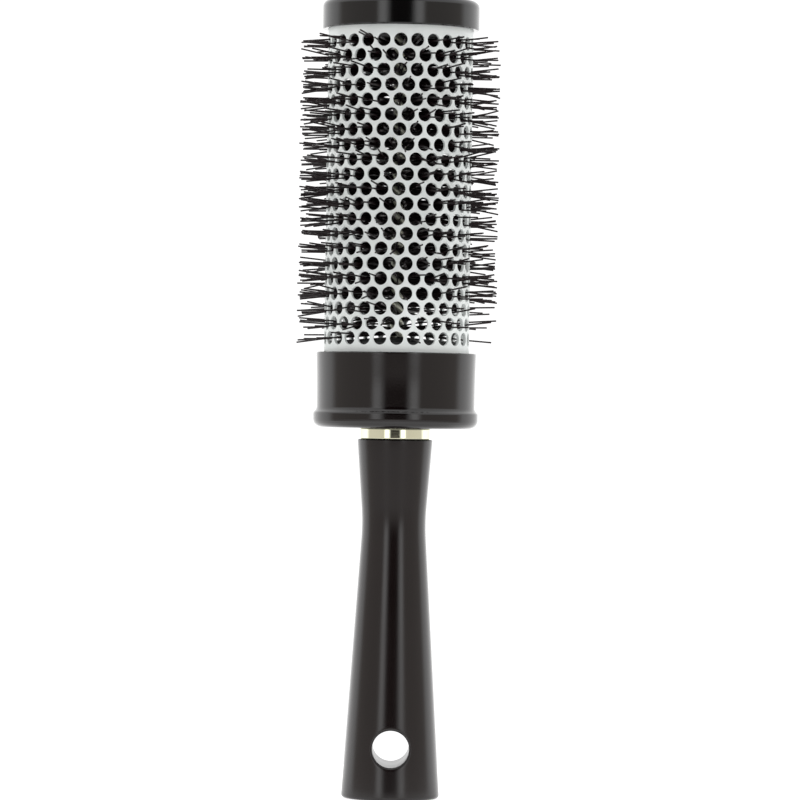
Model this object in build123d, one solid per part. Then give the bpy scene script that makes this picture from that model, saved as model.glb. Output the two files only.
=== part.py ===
"""A round salon barrel brush: a perforated metal barrel on a twisted wire core, with nylon bristles.

Millimetres. The origin is the middle of the handle's flat end, +Z runs up the brush axis to the
tip, and the hang hole's axis is Y. Each function makes one piece, in its place.
"""

from build123d import *
import math
import os

# Overall
BRUSH_LENGTH = 240.0
SLIP = 0.05  # radial or end gap between pieces that are pushed together
SMALL_ROUND = 0.35  # rounding of plain moulded and crimped edges

# Barrel: a thin tube with staggered rows of punched holes
BARREL_RADIUS = 21.75
BARREL_WALL = 0.9
BARREL_BORE = BARREL_RADIUS - BARREL_WALL
ROWS = 21
HOLES_PER_ROW = 27
HOLE_RADIUS = 2.0
ROW_PITCH = 4.41
TOP_ROW_Z = 225.7
FRONT = -90.0  # direction of the front, in degrees around Z
HOLE_STEP = 360.0 / HOLES_PER_ROW

# Twisted wire core: two strands wound left-handed, pinching the bristles between them
STRAND_RADIUS = 0.9
STRAND_OFFSET = 1.13
CORE_RADIUS = STRAND_RADIUS + STRAND_OFFSET
CORE_BORE = CORE_RADIUS + SLIP
TWIST_PITCH = 7.56
STRAND_FRONT_Z = 136.1  # a height at which the first strand crosses the front
CORE_BOTTOM_Z = 38.0
CORE_TOP_Z = 235.6

# Bristles
FILAMENT_RADIUS = 0.20
TIP_RADIUS = 30.2
ROOT_RADIUS = 2.5
ROOT_LAYER_WIDTH = 4.8
ROOT_LAYER_THICKNESS = 0.44
ROOT_CLEARANCE = 0.3

# End cap and what it holds
CAP_RADIUS = 23.55
CAP_BOTTOM_Z = 230.15
CAP_TOP_WALL = 3.0
CAP_CROWN = 1.25
CAP_EDGE_ROUND = 2.0
CAP_RIM_ROUND = 0.5
CAP_RIB_WALL = 1.8
TUBE_TOP_Z = 236.4
TIP_PLUG_BOTTOM_Z = 229.6
TIP_PLUG_THICKNESS = 2.4

# Collar at the handle end of the barrel
COLLAR_TOP_Z = 133.4
COLLAR_BOTTOM_Z = 110.8
COLLAR_RIM_RADIUS = 24.0
COLLAR_WAIST_RADIUS = 23.7
COLLAR_WAIST_ROUND = 1.8
BEAD_RADIUS = 24.75
BEAD_TOP_Z = 115.3
BEAD_TOP_ROUND = 0.9
BEAD_FOOT_ROUND = 2.6
COLLAR_FLOOR_Z = 114.4
SPIGOT_RADIUS = 6.2
SPIGOT_BOTTOM_Z = 94.0
SPIGOT_END_ROUND = 0.6

# Domed plug that centres the core in the barrel's lower end
PLUG_WALL = 1.8
PLUG_BOSS_RADIUS = 4.2
PLUG_EDGE_Z = 136.6
PLUG_CENTRE_Z = 138.1
PLUG_EDGE_ROUND = 0.8

# Crimped sleeves that tie the core to the plug at the tip and to the collar's spigot
SLEEVE_RADIUS = 3.0
TIP_SLEEVE_LENGTH = 3.4
STEM_SLEEVE_LENGTH = 12.0

# Bright ring between collar and handle
RING_RADIUS = 10.4

# Handle: a rigid core with a moulded grip over it. Two straight tapers meet at a soft waist.
HANDLE_TOP_Z = 107.4
HANDLE_TOP_RADIUS = 11.24
WAIST_Z = 82.3
WAIST_RADIUS = 9.37
WAIST_ROUND = 70.0
HANDLE_END_RADIUS = 14.70
END_ROUND = 1.0
GRIP_WALL = 2.2
HANG_HOLE_Z = 15.4
HANG_HOLE_RADIUS = 5.5
HANG_HOLE_LIP = 0.75
HANG_HOLE_WALL = 1.7


def turned(outline, rounds=()):
    """A solid turned about Z from (radius, height) points. rounds gives (point, rounding radius)."""
    face = make_face(Polyline(*outline, close=True))
    for point, radius in rounds:
        corner = face.vertices().sort_by_distance((*point, 0))[0]
        face = fillet(corner, radius)
    return revolve(Plane.XZ * face, Axis.Z)


def ring(inner, outer, low, high, rounding=0.0):
    """A plain ring about Z, with its two outer edges rounded if asked."""
    outline = [(inner, low), (outer, low), (outer, high), (inner, high)]
    rounds = [((outer, low), rounding), ((outer, high), rounding)] if rounding else []
    return turned(outline, rounds)


def row_height(row):
    return TOP_ROW_Z - row * ROW_PITCH


def hole_direction(row, number):
    """The direction of a hole around Z in degrees. Every other row is shifted by half a step."""
    return FRONT + HOLE_STEP * (number + 0.5 * (row % 2))


def strand_direction(height):
    """The direction of the first strand around Z at a height. It turns clockwise going up."""
    return FRONT - 360.0 * (height - STRAND_FRONT_Z) / TWIST_PITCH


# Barrel and bristles


def barrel_tube():
    tube = ring(BARREL_BORE, BARREL_RADIUS, COLLAR_FLOOR_Z + SLIP, TUBE_TOP_Z)
    punch = Rot(0, 90, 0) * Cylinder(HOLE_RADIUS, 4 * BARREL_WALL)
    punch = Pos(BARREL_RADIUS - BARREL_WALL / 2, 0, 0) * punch
    punches = [
        Pos(0, 0, row_height(row)) * Rot(0, 0, hole_direction(row, number)) * punch
        for row in range(ROWS)
        for number in range(HOLES_PER_ROW)
    ]
    return tube - punches


def core_wire(turn):
    """One strand of the core, with its helix starting turn degrees after the first strand's."""
    start = strand_direction(CORE_BOTTOM_Z) + turn
    path = Helix(
        pitch=TWIST_PITCH,
        height=CORE_TOP_Z - CORE_BOTTOM_Z,
        radius=STRAND_OFFSET,
        lefthand=True,
    )
    path = Pos(0, 0, CORE_BOTTOM_Z) * Rot(0, 0, start) * path
    section = Plane(path @ 0, z_dir=path % 0) * Circle(STRAND_RADIUS)
    return sweep(section, path=path, is_frenet=True)


def root_span():
    """The heights between the two plugs where bristles can leave the core."""
    return PLUG_CENTRE_Z + ROOT_CLEARANCE, TIP_PLUG_BOTTOM_Z - ROOT_CLEARANCE


def bristle_roots():
    """The layer of nylon pinched between the strands: a flat strip with the strands' twist."""
    low, high = root_span()
    strip = Pos(0, 0, low) * Rectangle(ROOT_LAYER_WIDTH, ROOT_LAYER_THICKNESS)
    twist = -360.0 * (high - low) / TWIST_PITCH
    solid = Solid.extrude_linear_with_rotation(strip.face(), (0, 0, low), (0, 0, high - low), twist)
    return Rot(0, 0, strand_direction(low) + 90.0) * solid


def root_height(direction, height):
    """The height nearest to this one at which the gap between the strands faces a direction."""
    half_turn = TWIST_PITCH / 2
    turns = (strand_direction(height) + 90.0 - direction) / 360.0
    facing = height + turns * TWIST_PITCH
    return facing + half_turn * round((height - facing) / half_turn)


def filament(direction, root_z, hole_z):
    """One straight filament, from the core out through the middle of its hole."""
    slope = (hole_z - root_z) / (BARREL_RADIUS - ROOT_RADIUS)
    across = TIP_RADIUS - ROOT_RADIUS
    out = Vector(math.cos(math.radians(direction)), math.sin(math.radians(direction)), slope)
    root = Vector(out.X, out.Y, 0) * ROOT_RADIUS + Vector(0, 0, root_z)
    return Solid.make_cylinder(FILAMENT_RADIUS, across * out.length, Plane(root, z_dir=out))


def bristle_row(row):
    """The filaments of one row of holes. A hole whose root would lie in a plug stays empty."""
    low, high = root_span()
    hole_z = row_height(row)
    filaments = []
    for number in range(HOLES_PER_ROW):
        direction = hole_direction(row, number)
        root_z = root_height(direction, hole_z)
        if low < root_z < high:
            filaments.append(filament(direction, root_z, hole_z))
    return Compound(filaments)


# Tip


def end_cap():
    """A cup over the barrel's end, with an inner rib that holds the tip plug down."""
    skirt_bore = BARREL_RADIUS + SLIP
    ceiling = BRUSH_LENGTH - CAP_TOP_WALL
    edge_z = BRUSH_LENGTH - CAP_CROWN
    rib_outer = BARREL_BORE - SLIP
    rib_inner = rib_outer - CAP_RIB_WALL
    rib_end = TIP_PLUG_BOTTOM_Z + TIP_PLUG_THICKNESS + SLIP
    outline = [
        (0, BRUSH_LENGTH),
        (CAP_RADIUS / 2, BRUSH_LENGTH - CAP_CROWN / 4),
        (CAP_RADIUS, edge_z),
        (CAP_RADIUS, CAP_BOTTOM_Z),
        (skirt_bore, CAP_BOTTOM_Z),
        (skirt_bore, ceiling),
        (rib_outer, ceiling),
        (rib_outer, rib_end),
        (rib_inner, rib_end),
        (rib_inner, ceiling),
        (0, ceiling),
    ]
    rounds = [((CAP_RADIUS, edge_z), CAP_EDGE_ROUND), ((CAP_RADIUS, CAP_BOTTOM_Z), CAP_RIM_ROUND)]
    return turned(outline, rounds)


def tip_plug():
    """A disc in the barrel's end that centres the core."""
    top = TIP_PLUG_BOTTOM_Z + TIP_PLUG_THICKNESS
    return ring(CORE_BORE, BARREL_BORE - SLIP, TIP_PLUG_BOTTOM_Z, top, SMALL_ROUND)


def tip_sleeve():
    low = TIP_PLUG_BOTTOM_Z + TIP_PLUG_THICKNESS + SLIP
    return ring(CORE_BORE, SLEEVE_RADIUS, low, low + TIP_SLEEVE_LENGTH, SMALL_ROUND)


# Collar, plug and ring


def collar():
    """A cup for the barrel with a rounded bead at its foot, on a spigot that enters the handle."""
    cup_bore = BARREL_RADIUS + SLIP
    spigot_end = (SPIGOT_RADIUS, SPIGOT_BOTTOM_Z)
    bead_foot = (BEAD_RADIUS, COLLAR_BOTTOM_Z)
    bead_top = (BEAD_RADIUS, BEAD_TOP_Z)
    waist = (COLLAR_WAIST_RADIUS, BEAD_TOP_Z + BEAD_RADIUS - COLLAR_WAIST_RADIUS)
    rim = (COLLAR_RIM_RADIUS, COLLAR_TOP_Z)
    outline = [
        (CORE_BORE, SPIGOT_BOTTOM_Z),
        spigot_end,
        (SPIGOT_RADIUS, COLLAR_BOTTOM_Z),
        bead_foot,
        bead_top,
        waist,
        rim,
        (cup_bore, COLLAR_TOP_Z),
        (cup_bore, COLLAR_FLOOR_Z),
        (CORE_BORE, COLLAR_FLOOR_Z),
    ]
    rounds = [
        (spigot_end, SPIGOT_END_ROUND),
        (bead_foot, BEAD_FOOT_ROUND),
        (bead_top, BEAD_TOP_ROUND),
        (waist, COLLAR_WAIST_ROUND),
        (rim, SMALL_ROUND),
    ]
    return turned(outline, rounds)


def barrel_plug():
    """A domed moulding inside the barrel's foot, with a long boss that grips the core."""
    outer = BARREL_BORE - SLIP
    foot = COLLAR_FLOOR_Z + SLIP
    outline = [
        (CORE_BORE, foot),
        (PLUG_BOSS_RADIUS, foot),
        (PLUG_BOSS_RADIUS, PLUG_CENTRE_Z - PLUG_WALL),
        (outer - PLUG_WALL, PLUG_EDGE_Z - PLUG_WALL),
        (outer - PLUG_WALL, foot),
        (outer, foot),
        (outer, PLUG_EDGE_Z),
        (CORE_BORE, PLUG_CENTRE_Z),
    ]
    return turned(outline, [((outer, PLUG_EDGE_Z), PLUG_EDGE_ROUND)])


def neck_ring():
    low = HANDLE_TOP_Z + SLIP / 2
    high = COLLAR_BOTTOM_Z - SLIP / 2
    return ring(SPIGOT_RADIUS + SLIP, RING_RADIUS, low, high, SMALL_ROUND)


def stem_sleeve():
    high = SPIGOT_BOTTOM_Z - SLIP
    return ring(CORE_BORE, SLEEVE_RADIUS, high - STEM_SLEEVE_LENGTH, high, SMALL_ROUND)


# Handle


def handle_form(inset):
    """The handle's outer form, shrunk by an inset from its side and its end."""
    end = inset
    foot = (HANDLE_END_RADIUS - inset, end)
    waist = (WAIST_RADIUS - inset, WAIST_Z)
    top = (HANDLE_TOP_RADIUS - inset, HANDLE_TOP_Z)
    outline = [(0, end), foot, waist, top, (0, HANDLE_TOP_Z)]
    rounds = [(foot, END_ROUND), (waist, WAIST_ROUND)]
    if inset == 0:
        rounds.append((top, SMALL_ROUND))
    return turned(outline, rounds)


def hang_bore(radius):
    return Pos(0, 0, HANG_HOLE_Z) * Rot(90, 0, 0) * Cylinder(radius, 3 * HANDLE_END_RADIUS)


def handle_core():
    """The rigid middle of the handle, bored for the spigot, the stem sleeve and the core."""
    socket_floor = SPIGOT_BOTTOM_Z - SLIP / 2
    sleeve_floor = SPIGOT_BOTTOM_Z - STEM_SLEEVE_LENGTH - 2 * SLIP
    core_floor = CORE_BOTTOM_Z - STRAND_RADIUS
    body = handle_form(GRIP_WALL) - hang_bore(HANG_HOLE_RADIUS + HANG_HOLE_WALL)
    bores = turned(
        [
            (0, core_floor),
            (CORE_BORE, core_floor),
            (CORE_BORE, sleeve_floor),
            (SLEEVE_RADIUS + SLIP, sleeve_floor),
            (SLEEVE_RADIUS + SLIP, socket_floor),
            (SPIGOT_RADIUS + SLIP, socket_floor),
            (SPIGOT_RADIUS + SLIP, HANDLE_TOP_Z + 1),
            (0, HANDLE_TOP_Z + 1),
        ]
    )
    return body - bores


def handle_grip():
    """The satin skin moulded over the core. It also lines the hang hole, with rounded lips."""
    lining = hang_bore(HANG_HOLE_RADIUS + HANG_HOLE_WALL) & handle_form(GRIP_WALL)
    skin = handle_form(0) - handle_form(GRIP_WALL) + lining
    skin = skin - hang_bore(HANG_HOLE_RADIUS)
    walls = skin.faces().filter_by(GeomType.CYLINDER)
    bore = walls.filter_by(lambda wall: abs(wall.radius - HANG_HOLE_RADIUS) < SLIP)
    lips = bore.edges().filter_by(GeomType.LINE, reverse=True)
    return fillet(lips, HANG_HOLE_LIP)


def write(name, shape):
    export_step(shape, f"parts/{name}.step")


def main():
    os.makedirs("parts", exist_ok=True)
    write("end_cap", end_cap())
    write("tip_plug", tip_plug())
    write("tip_sleeve", tip_sleeve())
    write("barrel_tube", barrel_tube())
    write("core_wire_a", core_wire(0))
    write("core_wire_b", core_wire(180))
    write("bristle_roots", bristle_roots())
    for row in range(ROWS):
        write(f"bristle_row_{row + 1:02d}", bristle_row(row))
    write("barrel_plug", barrel_plug())
    write("collar", collar())
    write("neck_ring", neck_ring())
    write("stem_sleeve", stem_sleeve())
    write("handle_core", handle_core())
    write("handle_grip", handle_grip())


main()
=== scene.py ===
"""Looks for the round barrel brush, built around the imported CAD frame.

Metres, +Z up the brush axis from the handle's flat end to the tip, front towards -Y.
"""

import math
import random

import bpy
import bmesh
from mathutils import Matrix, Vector


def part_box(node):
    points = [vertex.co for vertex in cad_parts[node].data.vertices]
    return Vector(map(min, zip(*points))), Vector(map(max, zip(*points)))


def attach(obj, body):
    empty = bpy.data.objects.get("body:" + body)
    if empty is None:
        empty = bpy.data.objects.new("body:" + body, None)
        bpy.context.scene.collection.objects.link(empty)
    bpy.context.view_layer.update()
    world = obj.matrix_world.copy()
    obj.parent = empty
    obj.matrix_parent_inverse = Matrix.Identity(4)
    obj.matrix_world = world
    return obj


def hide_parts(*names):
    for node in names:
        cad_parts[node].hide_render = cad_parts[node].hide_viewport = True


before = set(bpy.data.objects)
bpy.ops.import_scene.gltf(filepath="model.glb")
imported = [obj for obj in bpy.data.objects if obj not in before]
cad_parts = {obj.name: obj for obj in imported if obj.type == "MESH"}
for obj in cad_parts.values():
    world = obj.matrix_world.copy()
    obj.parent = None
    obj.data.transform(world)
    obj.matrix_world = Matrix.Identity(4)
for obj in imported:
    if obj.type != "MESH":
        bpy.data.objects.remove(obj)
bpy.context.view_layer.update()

MM = 0.001

# Shared fits and edges
SLIP = 0.05 * MM  # gap between pieces that are pushed together
NO_LENGTH = 0.0001 * MM  # a distance that counts as none
WELD = 0.002 * MM  # mesh points nearer than this become one
SMALL_ROUND = 0.35 * MM
INNER_ROUND = 0.15 * MM
FRONT = -math.pi / 2

# Barrel
ROWS = 21
HOLES_PER_ROW = 27
HOLE_STEP = 2 * math.pi / HOLES_PER_ROW
HOLE_RADIUS = 2.0 * MM
HOLE_LIP = 0.06 * MM
ROW_PITCH = 4.41 * MM
TOP_ROW_Z = 225.7 * MM
BARREL_WALL = 0.9 * MM
CELL_SIDE = 6  # mesh edges along each side of the rectangle around one hole

# Twisted core
STRAND_RADIUS = 0.9 * MM
STRAND_OFFSET = 1.13 * MM
CORE_BORE = STRAND_RADIUS + STRAND_OFFSET + SLIP
TWIST_PITCH = 7.56 * MM
STRAND_FRONT_Z = 136.1 * MM

# Bristles
SEED = 7100  # of the first row's random draws
FILAMENT_RADIUS = 0.25 * MM
FILAMENT_SIDES = 7
TIP_RADIUS = 30.05 * MM
TIP_UNEVENNESS = 1.2 * MM
ROOT_RADIUS = 1.0 * MM
ROOT_REACH = 5.0 * MM  # how far above or below its hole a filament can start
ROOT_SPREAD = 0.12  # radians by which a root can turn from its hole's direction
ROOT_JITTER = 0.3 * MM  # how far a root can lie above or below the middle of the gap
PLUG_CLEARANCE = 0.4 * MM  # between the plugs and the nearest roots
STRAIGHTENED = 0.55  # share of its slant that a filament keeps outside the barrel
SIDEWAYS_BEND = 0.07  # spread of a filament's turn to one side as it leaves its hole
UPWARD_BEND = 0.05  # spread of its turn up or down
BOW = 2.0 * MM  # how far a filament bows inside the barrel for each unit of bend
CROWD = 1.25 * MM  # how far from the middle of its hole a filament can lie
LEAST_OUTWARD = 0.6  # least share of its length that carries a filament outwards
HOLE_COUNT = 0.64  # filaments for each hole and each height at which the gap faces it
LEFT_EXTRA = 0.36  # how many more there are at the far left
LAST_ROWS = 3  # rows at the barrel's foot with fewer filaments
LAST_ROWS_SHARE = 0.6
TRAPPED_COUNT = 0.8  # filaments that stay inside, for each web and each such height
LAST_ROWS_TRAPPED_COUNT = 0.1
TRAPPED_RISE = 1.6 * MM
TRAPPED_GAP = (0.6 * MM, 3.0 * MM)  # least and greatest distance from a trapped tip to the tube
TRAPPED_SWAY = 0.02  # radians

# End cap
CAP_CROWN = 1.25 * MM
CAP_EDGE_ROUND = 2.0 * MM
CAP_RIM_ROUND = 0.5 * MM
CAP_TOP_WALL = 3.0 * MM
CAP_RIB_WALL = 1.8 * MM
GATE_RADIUS = 2.4 * MM  # the moulding gate's shallow dimple on top
GATE_DEPTH = 0.35 * MM

# Collar and the plug inside it
COLLAR_BOTTOM_Z = 110.8 * MM
COLLAR_RIM_RADIUS = 24.0 * MM
COLLAR_WAIST_RADIUS = 23.7 * MM
COLLAR_WAIST_ROUND = 1.8 * MM
COLLAR_MIDDLE_Z = 124.0 * MM
COLLAR_HOLLOW = 0.05 * MM  # the side flares a little more towards the rim than below the middle
COLLAR_HOLLOW_ROUND = 300.0 * MM
BEAD_TOP_Z = 115.3 * MM
BEAD_TOP_ROUND = 0.9 * MM
BEAD_FOOT_ROUND = 2.6 * MM
SPIGOT_RADIUS = 6.2 * MM
SPIGOT_END_ROUND = 0.6 * MM
PLUG_WALL = 1.8 * MM
PLUG_BOSS_RADIUS = 4.2 * MM
PLUG_EDGE_Z = 136.6 * MM
PLUG_EDGE_ROUND = 0.8 * MM

# Handle grip
HANDLE_END_RADIUS = 14.70 * MM
END_ROUND = 1.0 * MM
WAIST_Z = 82.3 * MM
WAIST_RADIUS = 9.37 * MM
WAIST_ROUND = 70.0 * MM
HANDLE_TOP_RADIUS = 11.24 * MM
GRIP_WALL = 2.2 * MM
GRIP_COLUMNS = 192
HANG_HOLE_Z = 15.4 * MM
HANG_HOLE_RADIUS = 5.5 * MM
HANG_HOLE_LIP = 0.75 * MM
HANG_HOLE_WALL = 1.7 * MM
BORE_DULLNESS = 0.1  # roughness added inside the hang hole
PATCH_HALF = 9.5 * MM  # half the height of the grip's patch around the hang hole
PATCH_COLUMNS = 32
PATCH_ROWS = 24

# Camera, floor and light. The band's stops are (degrees from the front, colour).
CAMERA_PLACE = (1.3 * MM, -1320 * MM, 119.25 * MM)
CAMERA_ROLL = -0.846
CAMERA_WHITE = (0.35, 0.35, 0.35)
FLOOR_RADIUS = 120 * MM
WORLD_STRENGTH = 3.2
TENT_LEVEL = 0.48
TENT_TOP = (0.5, 0.5, 0.5)
TABLE_TONE = (0.200, 0.187, 0.180)
TENT_BAND = [
    (0, (0.006, 0.006, 0.006)),
    (14, (0.006, 0.006, 0.006)),
    (19, (0.34, 0.34, 0.34)),
    (24, (0.74, 0.74, 0.74)),
    (30, (0.74, 0.74, 0.74)),
    (37, (0.200, 0.187, 0.176)),
    (96, (0.210, 0.197, 0.186)),
    (108, (0.46, 0.46, 0.46)),
    (180, (0.50, 0.50, 0.50)),
]


# ---------------------------------------------------------------- mesh helpers


def add_object(name, vertices, faces, sharp_angle=35.0):
    """A smooth-shaded mesh object whose edges past an angle stay sharp."""
    mesh = bpy.data.meshes.new(name)
    mesh.from_pydata(vertices, [], faces)
    work = bmesh.new()
    work.from_mesh(mesh)
    bmesh.ops.remove_doubles(work, verts=work.verts, dist=WELD)
    bmesh.ops.recalc_face_normals(work, faces=work.faces)
    work.to_mesh(mesh)
    work.free()
    mesh.shade_smooth()
    mesh.set_sharp_from_angle(angle=math.radians(sharp_angle))
    piece = bpy.data.objects.new(name, mesh)
    bpy.context.scene.collection.objects.link(piece)
    return piece


def rounded(corners, steps=6):
    """Outline points from (radius, height, rounding) corners, each rounding drawn as an arc."""
    points = []
    for i, (r, z, rounding) in enumerate(corners):
        here = Vector((r, z))
        if rounding == 0:
            points.append(here)
            continue
        back = (Vector(corners[i - 1][:2]) - here).normalized()
        ahead = (Vector(corners[(i + 1) % len(corners)][:2]) - here).normalized()
        half = back.angle(ahead) / 2
        centre = here + (back + ahead).normalized() * (rounding / math.sin(half))
        first = here + back * (rounding / math.tan(half)) - centre
        last = here + ahead * (rounding / math.tan(half)) - centre
        swing = math.atan2(first.x * last.y - first.y * last.x, first.dot(last))
        for step in range(steps + 1):
            turn = swing * step / steps
            c, s = math.cos(turn), math.sin(turn)
            points.append(centre + Vector((c * first.x - s * first.y, s * first.x + c * first.y)))
    return points


def held(points, closed, hold=0.15 * MM, longest=4 * MM):
    """The same outline with extra points along its long runs, so that smooth shading stays true."""
    out = []
    last = len(points) if closed else len(points) - 1
    for i in range(last):
        here, after = points[i], points[(i + 1) % len(points)]
        run = (after - here).length
        out.append(here)
        if run < 4 * hold:
            continue
        stops = [hold / run]
        parts = math.ceil(run / longest)
        stops += [k / parts for k in range(1, parts)]
        stops.append(1 - hold / run)
        out += [here.lerp(after, stop) for stop in stops]
    if not closed:
        out.append(points[-1])
    return out


def lathe(name, corners, closed=True, segments=192):
    """A turned piece. An outline that isn't closed starts and ends on the axis."""
    outline = held(rounded(corners), closed)
    vertices, rings = [], []
    for point in outline:
        if point.x < NO_LENGTH:
            rings.append([len(vertices)] * segments)
            vertices.append((0, 0, point.y))
            continue
        rings.append(range(len(vertices), len(vertices) + segments))
        for k in range(segments):
            turn = 2 * math.pi * k / segments
            vertices.append((point.x * math.cos(turn), point.x * math.sin(turn), point.y))
    faces = []
    count = len(rings)
    for i in range(count if closed else count - 1):
        low, high = rings[i], rings[(i + 1) % count]
        for k in range(segments):
            after = (k + 1) % segments
            corners_of_face = (low[k], low[after], high[after], high[k])
            faces.append(tuple(dict.fromkeys(corners_of_face)))
    return add_object(name, vertices, faces)


def tube(path, radius, sides, vertices, faces):
    """Adds a closed round tube along a path to the lists of vertices and faces."""
    first = len(vertices)
    side = Vector((0, 0, 1)).cross(path[1] - path[0])
    if side.length < NO_LENGTH**2:
        side = Vector((1, 0, 0))
    for i, point in enumerate(path):
        before, after = path[max(i - 1, 0)], path[min(i + 1, len(path) - 1)]
        along = (after - before).normalized()
        side = (side - along * side.dot(along)).normalized()
        up = along.cross(side)
        for k in range(sides):
            turn = 2 * math.pi * k / sides
            vertices.append(point + (side * math.cos(turn) + up * math.sin(turn)) * radius)
    for i in range(len(path) - 1):
        a = first + i * sides
        for k in range(sides):
            after = (k + 1) % sides
            faces.append((a + k, a + after, a + sides + after, a + sides + k))
    faces.append(tuple(first + k for k in reversed(range(sides))))
    end = first + (len(path) - 1) * sides
    faces.append(tuple(end + k for k in range(sides)))


def strand_direction(height):
    """The direction of the first strand at a height. The twist is left-handed."""
    return FRONT - 2 * math.pi * (height - STRAND_FRONT_Z) / TWIST_PITCH


def row_height(row):
    return TOP_ROW_Z - row * ROW_PITCH


def hole_direction(row, number):
    return FRONT + HOLE_STEP * (number + 0.5 * (row % 2))


# ---------------------------------------------------------------- pierced surfaces


def square_ring(half_width, half_height):
    """Points around a rectangle, anticlockwise from the middle of its right side."""
    points = []
    for k in range(4 * CELL_SIDE):
        side, along = divmod(k + CELL_SIDE // 2, CELL_SIDE)
        t = 2 * along / CELL_SIDE - 1
        points.append([(1, t), (-t, 1), (-1, -t), (t, -1)][side % 4])
    return [(u * half_width, v * half_height) for u, v in points]


def pierced_cell(edge, steps, place, vertices, faces):
    """One rectangle of a surface with a round hole in it.

    edge lists the rectangle's (u, v) points. Each step inwards is (radius, depth, share): a ring
    which is round at a share of 0 and has the rectangle's own form at a share of 1. place turns
    (u, v, depth) into a point.
    """
    count = len(edge)
    last = range(len(vertices), len(vertices) + count)
    vertices.extend(place(u, v, 0.0) for u, v in edge)
    for radius, depth, share in steps:
        ring = range(len(vertices), len(vertices) + count)
        for k, (u, v) in enumerate(edge):
            turn = 2 * math.pi * k / count
            round_u, round_v = radius * math.cos(turn), radius * math.sin(turn)
            u_here = round_u + (u - round_u) * share
            v_here = round_v + (v - round_v) * share
            vertices.append(place(u_here, v_here, depth))
        for k in range(count):
            after = (k + 1) % count
            faces.append((last[k], last[after], ring[after], ring[k]))
        last = ring


def barrel_cell_place(direction, z, outer):
    """Turns (distance around the surface, height, depth) at a hole into a point of the barrel.

    The hole's wall is parallel to the hole's axis. Elsewhere a point keeps its angle with depth.
    """

    def place(u, v, depth):
        r = outer - depth
        angle = u / outer
        if math.hypot(u, v) < 1.01 * HOLE_RADIUS:
            angle = math.asin(outer * math.sin(u / outer) / r)
        turn = direction + angle
        return (r * math.cos(turn), r * math.sin(turn), z + v)

    return place


def barrel_tube():
    """The tube with every punched hole, the holes' lips slightly rounded."""
    low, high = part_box("barrel_tube")
    outer = high.x
    inner = outer - BARREL_WALL
    half_height = ROW_PITCH / 2
    steps = [
        (HOLE_RADIUS + 2 * HOLE_LIP, 0.0, 0.0),
        (HOLE_RADIUS + HOLE_LIP, 0.0, 0.0),
        (HOLE_RADIUS + 0.3 * HOLE_LIP, 0.3 * HOLE_LIP, 0.0),
        (HOLE_RADIUS, HOLE_LIP, 0.0),
        (HOLE_RADIUS, BARREL_WALL, 0.0),
        (0.0, BARREL_WALL, 1.0),
    ]
    edge = square_ring(outer * HOLE_STEP / 2, half_height)
    vertices, faces = [], []
    for row in range(ROWS):
        for number in range(HOLES_PER_ROW):
            place = barrel_cell_place(hole_direction(row, number), row_height(row), outer)
            pierced_cell(edge, steps, place, vertices, faces)
    plain = [
        (TOP_ROW_Z + half_height, high.z),
        (low.z, row_height(ROWS - 1) - half_height),
    ]
    for bottom, top in plain:
        levels = [bottom + (top - bottom) * k / 4 for k in range(5)]
        for radius in (outer, inner):
            for z0, z1 in zip(levels, levels[1:]):
                band(radius, z0, radius, z1, vertices, faces)
    for z in (low.z, high.z):
        band(outer, z, inner, z, vertices, faces)
    return add_object("barrel", vertices, faces, sharp_angle=50)


def band(r0, z0, r1, z1, vertices, faces):
    """A turned strip between two circles, in step with the barrel's cells."""
    columns = HOLES_PER_ROW * CELL_SIDE
    first = len(vertices)
    for r, z in ((r0, z0), (r1, z1)):
        for k in range(columns):
            turn = FRONT + 2 * math.pi * k / columns
            vertices.append((r * math.cos(turn), r * math.sin(turn), z))
    for k in range(columns):
        after = (k + 1) % columns
        faces.append((first + k, first + after, first + columns + after, first + columns + k))


def handle_grip():
    """The grip: an outer and an inner skin joined at the top, both pierced by the hang hole."""
    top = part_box("handle_grip")[1].z
    vertices, faces = [], []
    outer_top = grip_skin(0.0, HANG_HOLE_RADIUS, HANG_HOLE_LIP, top, vertices, faces)
    lining = HANG_HOLE_RADIUS + HANG_HOLE_WALL
    inner_top = grip_skin(GRIP_WALL, lining, 0.0, top, vertices, faces)
    for k in range(GRIP_COLUMNS):
        after = (k + 1) % GRIP_COLUMNS
        faces.append((outer_top[k], outer_top[after], inner_top[after], inner_top[k]))
    return add_object("grip", vertices, faces, sharp_angle=40)


def grip_outline(inset, top):
    """(radius, height) points of the handle's side from its end to its top."""
    corners = [
        (0.0, inset, 0),
        (HANDLE_END_RADIUS - inset, inset, END_ROUND),
        (WAIST_RADIUS - inset, WAIST_Z, WAIST_ROUND),
        (HANDLE_TOP_RADIUS - inset, top, 0 if inset else SMALL_ROUND),
        (0.0, top, 0),
    ]
    return rounded(corners, steps=12)[1:-1]


def outline_radius(outline, height):
    """The outline's radius at a height, on its side."""
    for a, b in zip(outline, outline[1:]):
        if a.y <= height <= b.y and b.y > a.y:
            return a.x + (b.x - a.x) * (height - a.y) / (b.y - a.y)
    return outline[-1].x


def beside_hang_hole(a, b):
    """Whether a run of the grip's outline lies beside the hang hole's patch."""
    spare = 0.001 * MM
    low, high = HANG_HOLE_Z - PATCH_HALF, HANG_HOLE_Z + PATCH_HALF
    return a.y > low - spare and b.y < high + spare


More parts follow.
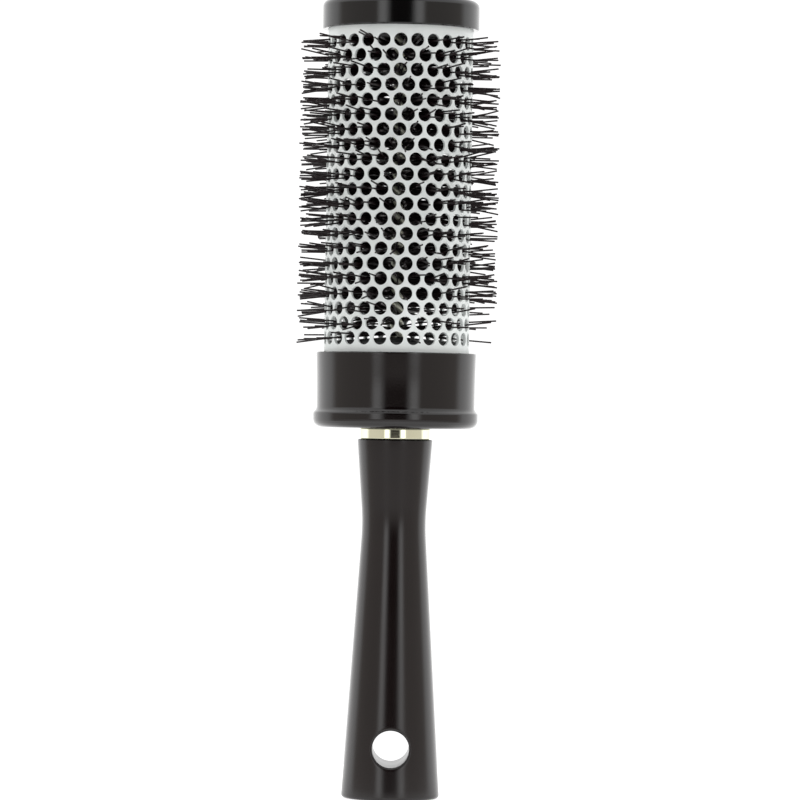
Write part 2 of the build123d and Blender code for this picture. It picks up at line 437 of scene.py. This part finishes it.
def grip_levels(outline):
    """The outline's points, with the patch's own heights beside it and no long runs elsewhere."""
    low, high = HANG_HOLE_Z - PATCH_HALF, HANG_HOLE_Z + PATCH_HALF
    spare = 0.01 * MM
    longest = 3 * MM
    side = [point for point in outline if point.y < low - spare]
    for k in range(PATCH_ROWS + 1):
        z = low + (high - low) * k / PATCH_ROWS
        side.append(Vector((outline_radius(outline, z), z)))
    side += [point for point in outline if point.y > high + spare]
    out = [side[0]]
    for a, b in zip(side, side[1:]):
        parts = 1 if beside_hang_hole(a, b) else max(1, math.ceil((b - a).length / longest))
        out += [a.lerp(b, k / parts) for k in range(1, parts + 1)]
    return out


def patch_place(outline, facing):
    """Turns (x, height from the hang hole, depth) into a point on the handle's front or back.

    A depth of None is the middle of the handle.
    """

    def place(x, v, depth):
        height = HANG_HOLE_Z + v
        if depth is None:
            return (x, 0.0, height)
        radius = outline_radius(outline, height)
        return (x, facing * (math.sqrt(max(radius**2 - x**2, 0.0)) - depth), height)

    return place


def patch_edge(outline):
    """(x, height) points around the hang hole's patch, from the middle of its right side."""
    spread = math.pi * PATCH_COLUMNS / GRIP_COLUMNS
    rows, columns = PATCH_ROWS, PATCH_COLUMNS
    points = [(spread, 2 * k / rows) for k in range(rows // 2)]
    points += [(spread * (1 - 2 * k / columns), 1) for k in range(columns)]
    points += [(-spread, 1 - 2 * k / rows) for k in range(rows)]
    points += [(spread * (2 * k / columns - 1), -1) for k in range(columns)]
    points += [(spread, 2 * k / rows - 1) for k in range(rows // 2)]
    edge = []
    for angle, level in points:
        v = level * PATCH_HALF
        edge.append((outline_radius(outline, HANG_HOLE_Z + v) * math.sin(angle), v))
    return edge


def grip_skin(inset, bore, lip, top, vertices, faces):
    """One skin of the grip, with its two pierced patches. Returns the top ring's numbers."""
    outline = grip_outline(inset, top)
    side = grip_levels(outline)
    rings = []
    for point in side:
        rings.append(range(len(vertices), len(vertices) + GRIP_COLUMNS))
        for k in range(GRIP_COLUMNS):
            turn = FRONT + 2 * math.pi * k / GRIP_COLUMNS
            vertices.append((point.x * math.cos(turn), point.x * math.sin(turn), point.y))
    for low, high, a, b in zip(rings, rings[1:], side, side[1:]):
        for k in range(GRIP_COLUMNS):
            from_patch = (k + PATCH_COLUMNS // 2) % (GRIP_COLUMNS // 2)
            if beside_hang_hole(a, b) and from_patch < PATCH_COLUMNS:
                continue
            after = (k + 1) % GRIP_COLUMNS
            faces.append((low[k], low[after], high[after], high[k]))
    end = len(vertices)
    vertices.append((0, 0, side[0].y))
    for k in range(GRIP_COLUMNS):
        faces.append((end, rings[0][(k + 1) % GRIP_COLUMNS], rings[0][k]))

    steps = [(bore + lip, 0.0, 1 - k / 6) for k in range(1, 7)]
    if lip:
        for k in range(1, 7):
            bend = math.radians(15 * k)
            steps.append((bore + lip - lip * math.sin(bend), lip - lip * math.cos(bend), 0.0))
    steps += [(bore, lip + INNER_ROUND, 0.0), (bore, 6 * MM, 0.0), (bore, None, 0.0)]
    edge = patch_edge(outline)
    for facing in (-1, 1):
        pierced_cell(edge, steps, patch_place(outline, facing), vertices, faces)
    return rings[-1]


# ---------------------------------------------------------------- turned pieces


def end_cap():
    low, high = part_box("end_cap")
    radius = high.x
    crown = high.z
    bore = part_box("barrel_tube")[1].x + SLIP
    rib_outer = bore - BARREL_WALL - 2 * SLIP
    rib_inner = rib_outer - CAP_RIB_WALL
    rib_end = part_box("tip_plug")[1].z + SLIP
    ceiling = crown - CAP_TOP_WALL
    corners = [
        (0, ceiling, 0),
        (rib_inner, ceiling, 0),
        (rib_inner, rib_end, 0),
        (rib_outer, rib_end, 0),
        (rib_outer, ceiling, 0),
        (bore, ceiling, 0),
        (bore, low.z, INNER_ROUND),
        (radius, low.z, CAP_RIM_ROUND),
        (radius, crown - CAP_CROWN, CAP_EDGE_ROUND),
        (radius / 2, crown - CAP_CROWN / 4, 0),
        (GATE_RADIUS + GATE_DEPTH / 2, crown - GATE_DEPTH / 10, 0),
        (GATE_RADIUS - GATE_DEPTH / 2, crown - GATE_DEPTH, 0.1 * MM),
        (0, crown - GATE_DEPTH, 0),
    ]
    return lathe("cap", corners, closed=False)


def collar():
    low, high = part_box("collar")
    bead = high.x
    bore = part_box("barrel_tube")[1].x + SLIP
    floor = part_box("barrel_tube")[0].z - SLIP
    corners = [
        (CORE_BORE, low.z, 0),
        (SPIGOT_RADIUS, low.z, SPIGOT_END_ROUND),
        (SPIGOT_RADIUS, COLLAR_BOTTOM_Z, 0),
        (bead, COLLAR_BOTTOM_Z, BEAD_FOOT_ROUND),
        (bead, BEAD_TOP_Z, BEAD_TOP_ROUND),
        (COLLAR_WAIST_RADIUS, BEAD_TOP_Z + bead - COLLAR_WAIST_RADIUS, COLLAR_WAIST_ROUND),
        (COLLAR_WAIST_RADIUS + COLLAR_HOLLOW, COLLAR_MIDDLE_Z, COLLAR_HOLLOW_ROUND),
        (COLLAR_RIM_RADIUS, high.z, SMALL_ROUND),
        (bore, high.z, INNER_ROUND),
        (bore, floor, 0),
        (CORE_BORE, floor, 0),
    ]
    return lathe("collar_shell", corners)


def barrel_plug():
    low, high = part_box("barrel_plug")
    outer = high.x
    corners = [
        (CORE_BORE, low.z, 0),
        (PLUG_BOSS_RADIUS, low.z, 0),
        (PLUG_BOSS_RADIUS, high.z - PLUG_WALL, 0),
        (outer - PLUG_WALL, PLUG_EDGE_Z - PLUG_WALL, 0),
        (outer - PLUG_WALL, low.z, 0),
        (outer, low.z, 0),
        (outer, PLUG_EDGE_Z, PLUG_EDGE_ROUND),
        (CORE_BORE, high.z, 0),
    ]
    return lathe("plug", corners)


def neck_ring():
    low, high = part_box("neck_ring")
    inner = SPIGOT_RADIUS + SLIP
    corners = [
        (inner, low.z, 0),
        (high.x, low.z, SMALL_ROUND),
        (high.x, high.z, SMALL_ROUND),
        (inner, high.z, 0),
    ]
    return lathe("bright_ring", corners)


# ---------------------------------------------------------------- core and bristles


def core_strand(name, node, turn):
    """One twisted strand, its ends just inside the CAD strand's."""
    low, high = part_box(node)
    spare = 0.62 * MM
    bottom, top = low.z + spare, high.z - spare
    steps = round((top - bottom) / TWIST_PITCH * 32)
    path = []
    for k in range(steps + 1):
        z = bottom + (top - bottom) * k / steps
        direction = strand_direction(z) + turn
        x, y = STRAND_OFFSET * math.cos(direction), STRAND_OFFSET * math.sin(direction)
        path.append(Vector((x, y, z)))
    vertices, faces = [], []
    tube(path, STRAND_RADIUS * 0.995, 20, vertices, faces)
    return add_object(name, vertices, faces, sharp_angle=60)


def facing_height(direction, height):
    """The height nearest to this one at which the gap between the strands faces a direction."""
    half_turn = TWIST_PITCH / 2
    turns = (strand_direction(height) + math.pi / 2 - direction) / (2 * math.pi)
    facing = height + turns * TWIST_PITCH
    return facing + half_turn * round((height - facing) / half_turn)


def filament_path(rng, direction, root_z, hole_z, barrel):
    """A slightly bent filament from its root in the core out through its hole to the tip circle."""
    outward = Vector((math.cos(direction), math.sin(direction), 0))
    tangent = Vector((-outward.y, outward.x, 0))
    hole_turn = direction + rng.uniform(-CROWD, CROWD) / barrel
    height = hole_z + rng.uniform(-CROWD, CROWD)
    through = Vector((barrel * math.cos(hole_turn), barrel * math.sin(hole_turn), height))
    root_turn = direction + rng.uniform(-ROOT_SPREAD, ROOT_SPREAD)
    root = Vector((ROOT_RADIUS * math.cos(root_turn), ROOT_RADIUS * math.sin(root_turn), root_z))
    straight = through - root
    straight.z *= STRAIGHTENED
    straight = straight.normalized()
    bend = tangent * rng.gauss(0, SIDEWAYS_BEND) + Vector((0, 0, rng.gauss(0, UPWARD_BEND)))
    leave = (straight + bend).normalized()
    length = TIP_RADIUS - rng.random() ** 2 * TIP_UNEVENNESS - barrel
    tip = through + leave * length / max(leave.dot(outward), LEAST_OUTWARD)
    reach = math.hypot(tip.x, tip.y)
    if reach > TIP_RADIUS:
        tip = through + (tip - through) * (TIP_RADIUS - barrel) / (reach - barrel)
    middle = root.lerp(through, 0.5) - (leave - straight) * BOW
    return [root, middle, through, through.lerp(tip, 0.5), tip]


def trapped_path(rng, direction, root_z, inner):
    """A filament that missed the holes: it ends inside the barrel, bent a little up or down."""
    reach = inner - rng.uniform(*TRAPPED_GAP)
    rise = rng.uniform(-TRAPPED_RISE, TRAPPED_RISE)
    path = []
    for share in (0.0, 0.35, 0.7, 1.0):
        r = ROOT_RADIUS + (reach - ROOT_RADIUS) * share
        turn = direction + rng.uniform(-TRAPPED_SWAY, TRAPPED_SWAY)
        path.append(Vector((r * math.cos(turn), r * math.sin(turn), root_z + rise * share**1.5)))
    return path


def bristle_row(row):
    """Nylon filaments from the gap between the strands out through one row of holes.

    The gap faces each hole from two or three heights near the hole's own, and filaments come from
    all of them, so some slant. Between the holes there are filaments that stay inside.
    """
    rng = random.Random(SEED + row)
    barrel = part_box("barrel_tube")[1].x
    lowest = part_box("barrel_plug")[1].z + PLUG_CLEARANCE
    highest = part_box("tip_plug")[0].z - PLUG_CLEARANCE
    hole_z = row_height(row)
    vertices, faces = [], []

    def add_filaments(expected, direction, make_path):
        nearest = facing_height(direction, hole_z)
        for turns in (-1, 0, 1):
            facing_z = nearest + turns * TWIST_PITCH / 2
            if abs(facing_z - hole_z) > ROOT_REACH:
                continue
            for _ in range(int(expected + rng.random())):
                root_z = facing_z + rng.uniform(-ROOT_JITTER, ROOT_JITTER)
                if lowest < root_z < highest:
                    tube(make_path(root_z), FILAMENT_RADIUS, FILAMENT_SIDES, vertices, faces)

    last_rows = row >= ROWS - LAST_ROWS
    share = LAST_ROWS_SHARE if last_rows else 1.0
    trapped = LAST_ROWS_TRAPPED_COUNT if last_rows else TRAPPED_COUNT
    inner = barrel - BARREL_WALL
    for number in range(HOLES_PER_ROW):
        direction = hole_direction(row, number)
        left = max(0.0, -math.cos(direction))
        expected = (HOLE_COUNT + LEFT_EXTRA * left) * share
        add_filaments(expected, direction, lambda z: filament_path(rng, direction, z, hole_z, barrel))
        web = direction + HOLE_STEP / 2
        add_filaments(trapped, web, lambda z: trapped_path(rng, web, z, inner))
    return add_object(f"bristles_{row + 1:02d}", vertices, faces, sharp_angle=50)


# ---------------------------------------------------------------- materials


class NodeTree:
    """Builds the nodes of a material or of the world."""

    def __init__(self, tree):
        self.tree = tree

    def feed(self, socket, value):
        if isinstance(value, bpy.types.NodeSocket):
            self.tree.links.new(value, socket)
        else:
            socket.default_value = value

    def node(self, kind, **inputs):
        """A node with its inputs fed by name. An underscore in a name stands for a space."""
        made = self.tree.nodes.new(kind)
        for name, value in inputs.items():
            self.feed(made.inputs[name.replace("_", " ")], value)
        return made

    def calculation(self, kind, operation, *values):
        """A maths or vector maths node with its inputs fed in order."""
        made = self.tree.nodes.new(kind)
        made.operation = operation
        for socket, value in zip(made.inputs, values):
            self.feed(socket, value)
        return made

    def math(self, operation, *values):
        return self.calculation("ShaderNodeMath", operation, *values).outputs[0]

    def remap(self, value, from_low, from_high, low=0.0, high=1.0):
        """The value carried linearly from one range to another, and held at its ends."""
        made = self.node("ShaderNodeMapRange", Value=value, From_Min=from_low, From_Max=from_high)
        self.feed(made.inputs["To Min"], low)
        self.feed(made.inputs["To Max"], high)
        return made.outputs[0]

    def mix(self, factor, first, second):
        """A mix of two colours, each a socket or an (r, g, b)."""
        made = self.node("ShaderNodeMix")
        made.data_type = "RGBA"
        self.feed(made.inputs["Factor"], factor)
        for socket, value in ((made.inputs[6], first), (made.inputs[7], second)):
            self.feed(socket, (*value, 1) if isinstance(value, tuple) else value)
        return made.outputs[2]


class Shader(NodeTree):
    """Builds one material around its principled surface."""

    def __init__(self, name):
        self.material = bpy.data.materials.new(name)
        self.material.use_nodes = True
        super().__init__(self.material.node_tree)
        self.surface = self.tree.nodes["Principled BSDF"]
        self.place = self.tree.nodes.new("ShaderNodeTexCoord").outputs["Object"]
        self.polish = None

    def set(self, name, value):
        self.feed(self.surface.inputs[name], value)

    def noise(self, scale, detail=2.0, stretch=(1, 1, 1)):
        mapping = self.node("ShaderNodeMapping", Vector=self.place, Scale=stretch)
        made = self.node("ShaderNodeTexNoise", Vector=mapping.outputs[0], Scale=scale, Detail=detail)
        return made.outputs["Fac"]

    def tones(self, factor, dark, light):
        self.set("Base Color", self.mix(factor, dark, light))

    def roughness(self, noise, low, high):
        """A roughness that varies with a noise."""
        self.polish = self.remap(noise, 0.3, 0.7, low, high)
        self.set("Roughness", self.polish)

    def bump(self, height, strength, distance):
        made = self.node("ShaderNodeBump", Height=height, Strength=strength, Distance=distance)
        self.set("Normal", made.outputs[0])


def moulded_plastic(name, dark, light, rough_low, rough_high, grain=1800):
    """Moulded plastic: slight tone changes, fine grain and faint handling scratches."""
    shader = Shader(name)
    shader.tones(shader.noise(140), dark, light)
    shader.roughness(shader.noise(60, 4, stretch=(1, 1, 0.35)), rough_low, rough_high)
    shader.bump(shader.noise(grain), 0.12, 0.05 * MM)
    return shader


def satin_grip():
    """The handle's plastic, a little duller inside the hang hole."""
    dark, light = (0.0034, 0.0014, 0.0014), (0.0050, 0.0022, 0.0022)
    shader = moulded_plastic("satin_grip", dark, light, 0.17, 0.23, grain=2200)
    kind = "ShaderNodeVectorMath"
    across, to_axis = (1, 0, 1), (0, 0, -HANG_HOLE_Z)
    offset = shader.calculation(kind, "MULTIPLY_ADD", shader.place, across, to_axis).outputs[0]
    distance = shader.calculation(kind, "LENGTH", offset).outputs["Value"]
    lip = HANG_HOLE_RADIUS + 0.5 * HANG_HOLE_LIP
    dullness = shader.remap(distance, lip, HANG_HOLE_RADIUS, 0.0, BORE_DULLNESS)
    shader.set("Roughness", shader.math("ADD", shader.polish, dullness))
    return shader.material


def barrel_coat():
    shader = Shader("ceramic_coat")
    shader.tones(shader.noise(90, 3), (0.66, 0.70, 0.69), (0.71, 0.735, 0.725))
    shader.roughness(shader.noise(300, 3), 0.42, 0.55)
    shader.bump(shader.noise(2500), 0.1, 0.03 * MM)
    return shader.material


def galvanised_wire():
    shader = Shader("galvanised_wire")
    mottle = shader.noise(900, 4, stretch=(1, 1, 0.4))
    shader.tones(mottle, (0.66, 0.69, 0.56), (0.86, 0.88, 0.75))
    shader.set("Metallic", 0.5)
    shader.roughness(shader.noise(1500, 3), 0.09, 0.17)
    shader.bump(shader.noise(3000, 3), 0.12, 0.03 * MM)
    return shader.material


def nylon():
    """Black nylon. Each filament has its own tone, from black to a deep maroon."""
    shader = Shader("black_nylon")
    island = shader.node("ShaderNodeNewGeometry").outputs["Random Per Island"]
    shader.tones(island, (0.003, 0.001, 0.0015), (0.013, 0.005, 0.0065))
    shader.set("Specular IOR Level", 0.28)
    shader.roughness(shader.noise(700), 0.34, 0.48)
    shader.bump(shader.noise(5000, 1), 0.1, 0.02 * MM)
    return shader.material


def bright_chrome():
    shader = Shader("bright_chrome")
    shader.tones(shader.noise(200), (0.87, 0.88, 0.66), (0.90, 0.91, 0.70))
    shader.set("Metallic", 1.0)
    shader.set("Specular Tint", (0.80, 0.79, 0.70, 1))
    shader.roughness(shader.noise(800, 3, stretch=(1, 1, 6)), 0.05, 0.12)
    return shader.material


def dress(piece, material):
    piece.data.materials.clear()
    piece.data.materials.append(material)


def finish_piece(piece, material, node):
    """Dresses a piece and puts it in the place of its CAD node."""
    dress(piece, material)
    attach(piece, "root")
    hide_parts(node)


# ---------------------------------------------------------------- stage


def add_floor():
    """A round white floor just under the brush."""
    count = 64
    rim = []
    for k in range(count):
        turn = 2 * math.pi * k / count
        rim.append((FLOOR_RADIUS * math.cos(turn), FLOOR_RADIUS * math.sin(turn), -SLIP))
    mesh = bpy.data.meshes.new("floor")
    mesh.from_pydata(rim, [], [range(count)])
    floor = bpy.data.objects.new("floor", mesh)
    bpy.context.scene.collection.objects.link(floor)
    shader = Shader("white_floor")
    shader.set("Base Color", (0.35, 0.35, 0.35, 1))
    shader.set("Roughness", 0.9)
    shader.set("Emission Color", (1, 1, 1, 1))
    shader.set("Emission Strength", 0.85)
    dress(floor, shader.material)


def add_light_tent():
    """Soft light from all round, as in a product tent with a dark gap between two front lights.

    The gap and the lights are a band around the horizon, with a grey table in front just below
    it. Further up and down the tent is evenly lit, but the gap goes on up to the bright top. The
    camera itself sees white.
    """
    world = bpy.data.worlds.new("light_tent")
    bpy.context.scene.world = world
    world.use_nodes = True
    build = NodeTree(world.node_tree)
    direction = build.node("ShaderNodeTexCoord").outputs["Generated"]
    split = build.node("ShaderNodeSeparateXYZ", Vector=direction)
    towards_front = build.math("MULTIPLY", split.outputs["Y"], -1.0)
    around = build.math("ABSOLUTE", build.math("ARCTAN2", split.outputs["X"], towards_front))
    rise = split.outputs["Z"]

    band = build.node("ShaderNodeValToRGB", Fac=build.math("DIVIDE", around, math.pi))
    elements = band.color_ramp.elements
    elements[0].position, elements[1].position = 0, 1
    elements[0].color = (*TENT_BAND[0][1], 1)
    elements[1].color = (*TENT_BAND[-1][1], 1)
    for angle, colour in TENT_BAND[1:-1]:
        elements.new(angle / 180).color = (*colour, 1)

    in_front = build.math("MAXIMUM", build.math("COSINE", around), 0.0)
    on_table = build.remap(build.math("MULTIPLY", rise, in_front), -0.02, -0.05)
    lit = build.mix(on_table, band.outputs[0], TABLE_TONE)
    past_gap = build.remap(around, math.radians(17), math.radians(22))
    tent = build.math("MULTIPLY", build.math("MAXIMUM", past_gap, on_table), TENT_LEVEL)
    lit = build.mix(build.remap(build.math("ABSOLUTE", rise), 0.18, 0.32), lit, tent)
    lit = build.mix(build.remap(rise, 0.6, 0.9), lit, TENT_TOP)

    to_camera = build.node("ShaderNodeLightPath").outputs["Is Camera Ray"]
    background = build.tree.nodes["Background"]
    build.feed(background.inputs["Color"], build.mix(to_camera, lit, CAMERA_WHITE))
    build.feed(background.inputs["Strength"], WORLD_STRENGTH)


def add_camera():
    """A long lens level with the middle of the brush, rolled a little so that the brush leans."""
    data = bpy.data.cameras.new("camera")
    data.sensor_width = 36.0
    data.lens = 198.0
    camera = bpy.data.objects.new("camera", data)
    bpy.context.scene.collection.objects.link(camera)
    camera.location = CAMERA_PLACE
    camera.rotation_mode = "XYZ"
    camera.rotation_euler = (math.radians(90), math.radians(CAMERA_ROLL), 0)
    bpy.context.scene.camera = camera
    view = bpy.context.scene.view_settings
    view.view_transform = "Standard"
    view.look = "None"


# ---------------------------------------------------------------- the brush

add_camera()
add_light_tent()
add_floor()

cap_tones = (0.0012, 0.0010, 0.0011), (0.0022, 0.0018, 0.0020)
collar_tones = (0.0022, 0.0010, 0.0010), (0.0036, 0.0018, 0.0018)
inner_tones = (0.0020, 0.0020, 0.0020), (0.0030, 0.0030, 0.0030)
cap_plastic = moulded_plastic("cap_moulding", *cap_tones, 0.10, 0.15).material
collar_plastic = moulded_plastic("collar_moulding", *collar_tones, 0.10, 0.15).material
inner_plastic = moulded_plastic("inner_moulding", *inner_tones, 0.6, 0.8, grain=1500).material
wire = galvanised_wire()
bristle = nylon()

finish_piece(end_cap(), cap_plastic, "end_cap")
finish_piece(barrel_tube(), barrel_coat(), "barrel_tube")
finish_piece(collar(), collar_plastic, "collar")
finish_piece(barrel_plug(), inner_plastic, "barrel_plug")
finish_piece(neck_ring(), bright_chrome(), "neck_ring")
finish_piece(handle_grip(), satin_grip(), "handle_grip")
finish_piece(core_strand("strand_a", "core_wire_a", 0.0), wire, "core_wire_a")
finish_piece(core_strand("strand_b", "core_wire_b", math.pi), wire, "core_wire_b")
for row in range(ROWS):
    finish_piece(bristle_row(row), bristle, f"bristle_row_{row + 1:02d}")

for name, material in (
    ("bristle_roots", bristle),
    ("tip_plug", inner_plastic),
    ("tip_sleeve", wire),
    ("stem_sleeve", wire),
    ("handle_core", inner_plastic),
):
    dress(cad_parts[name], material)
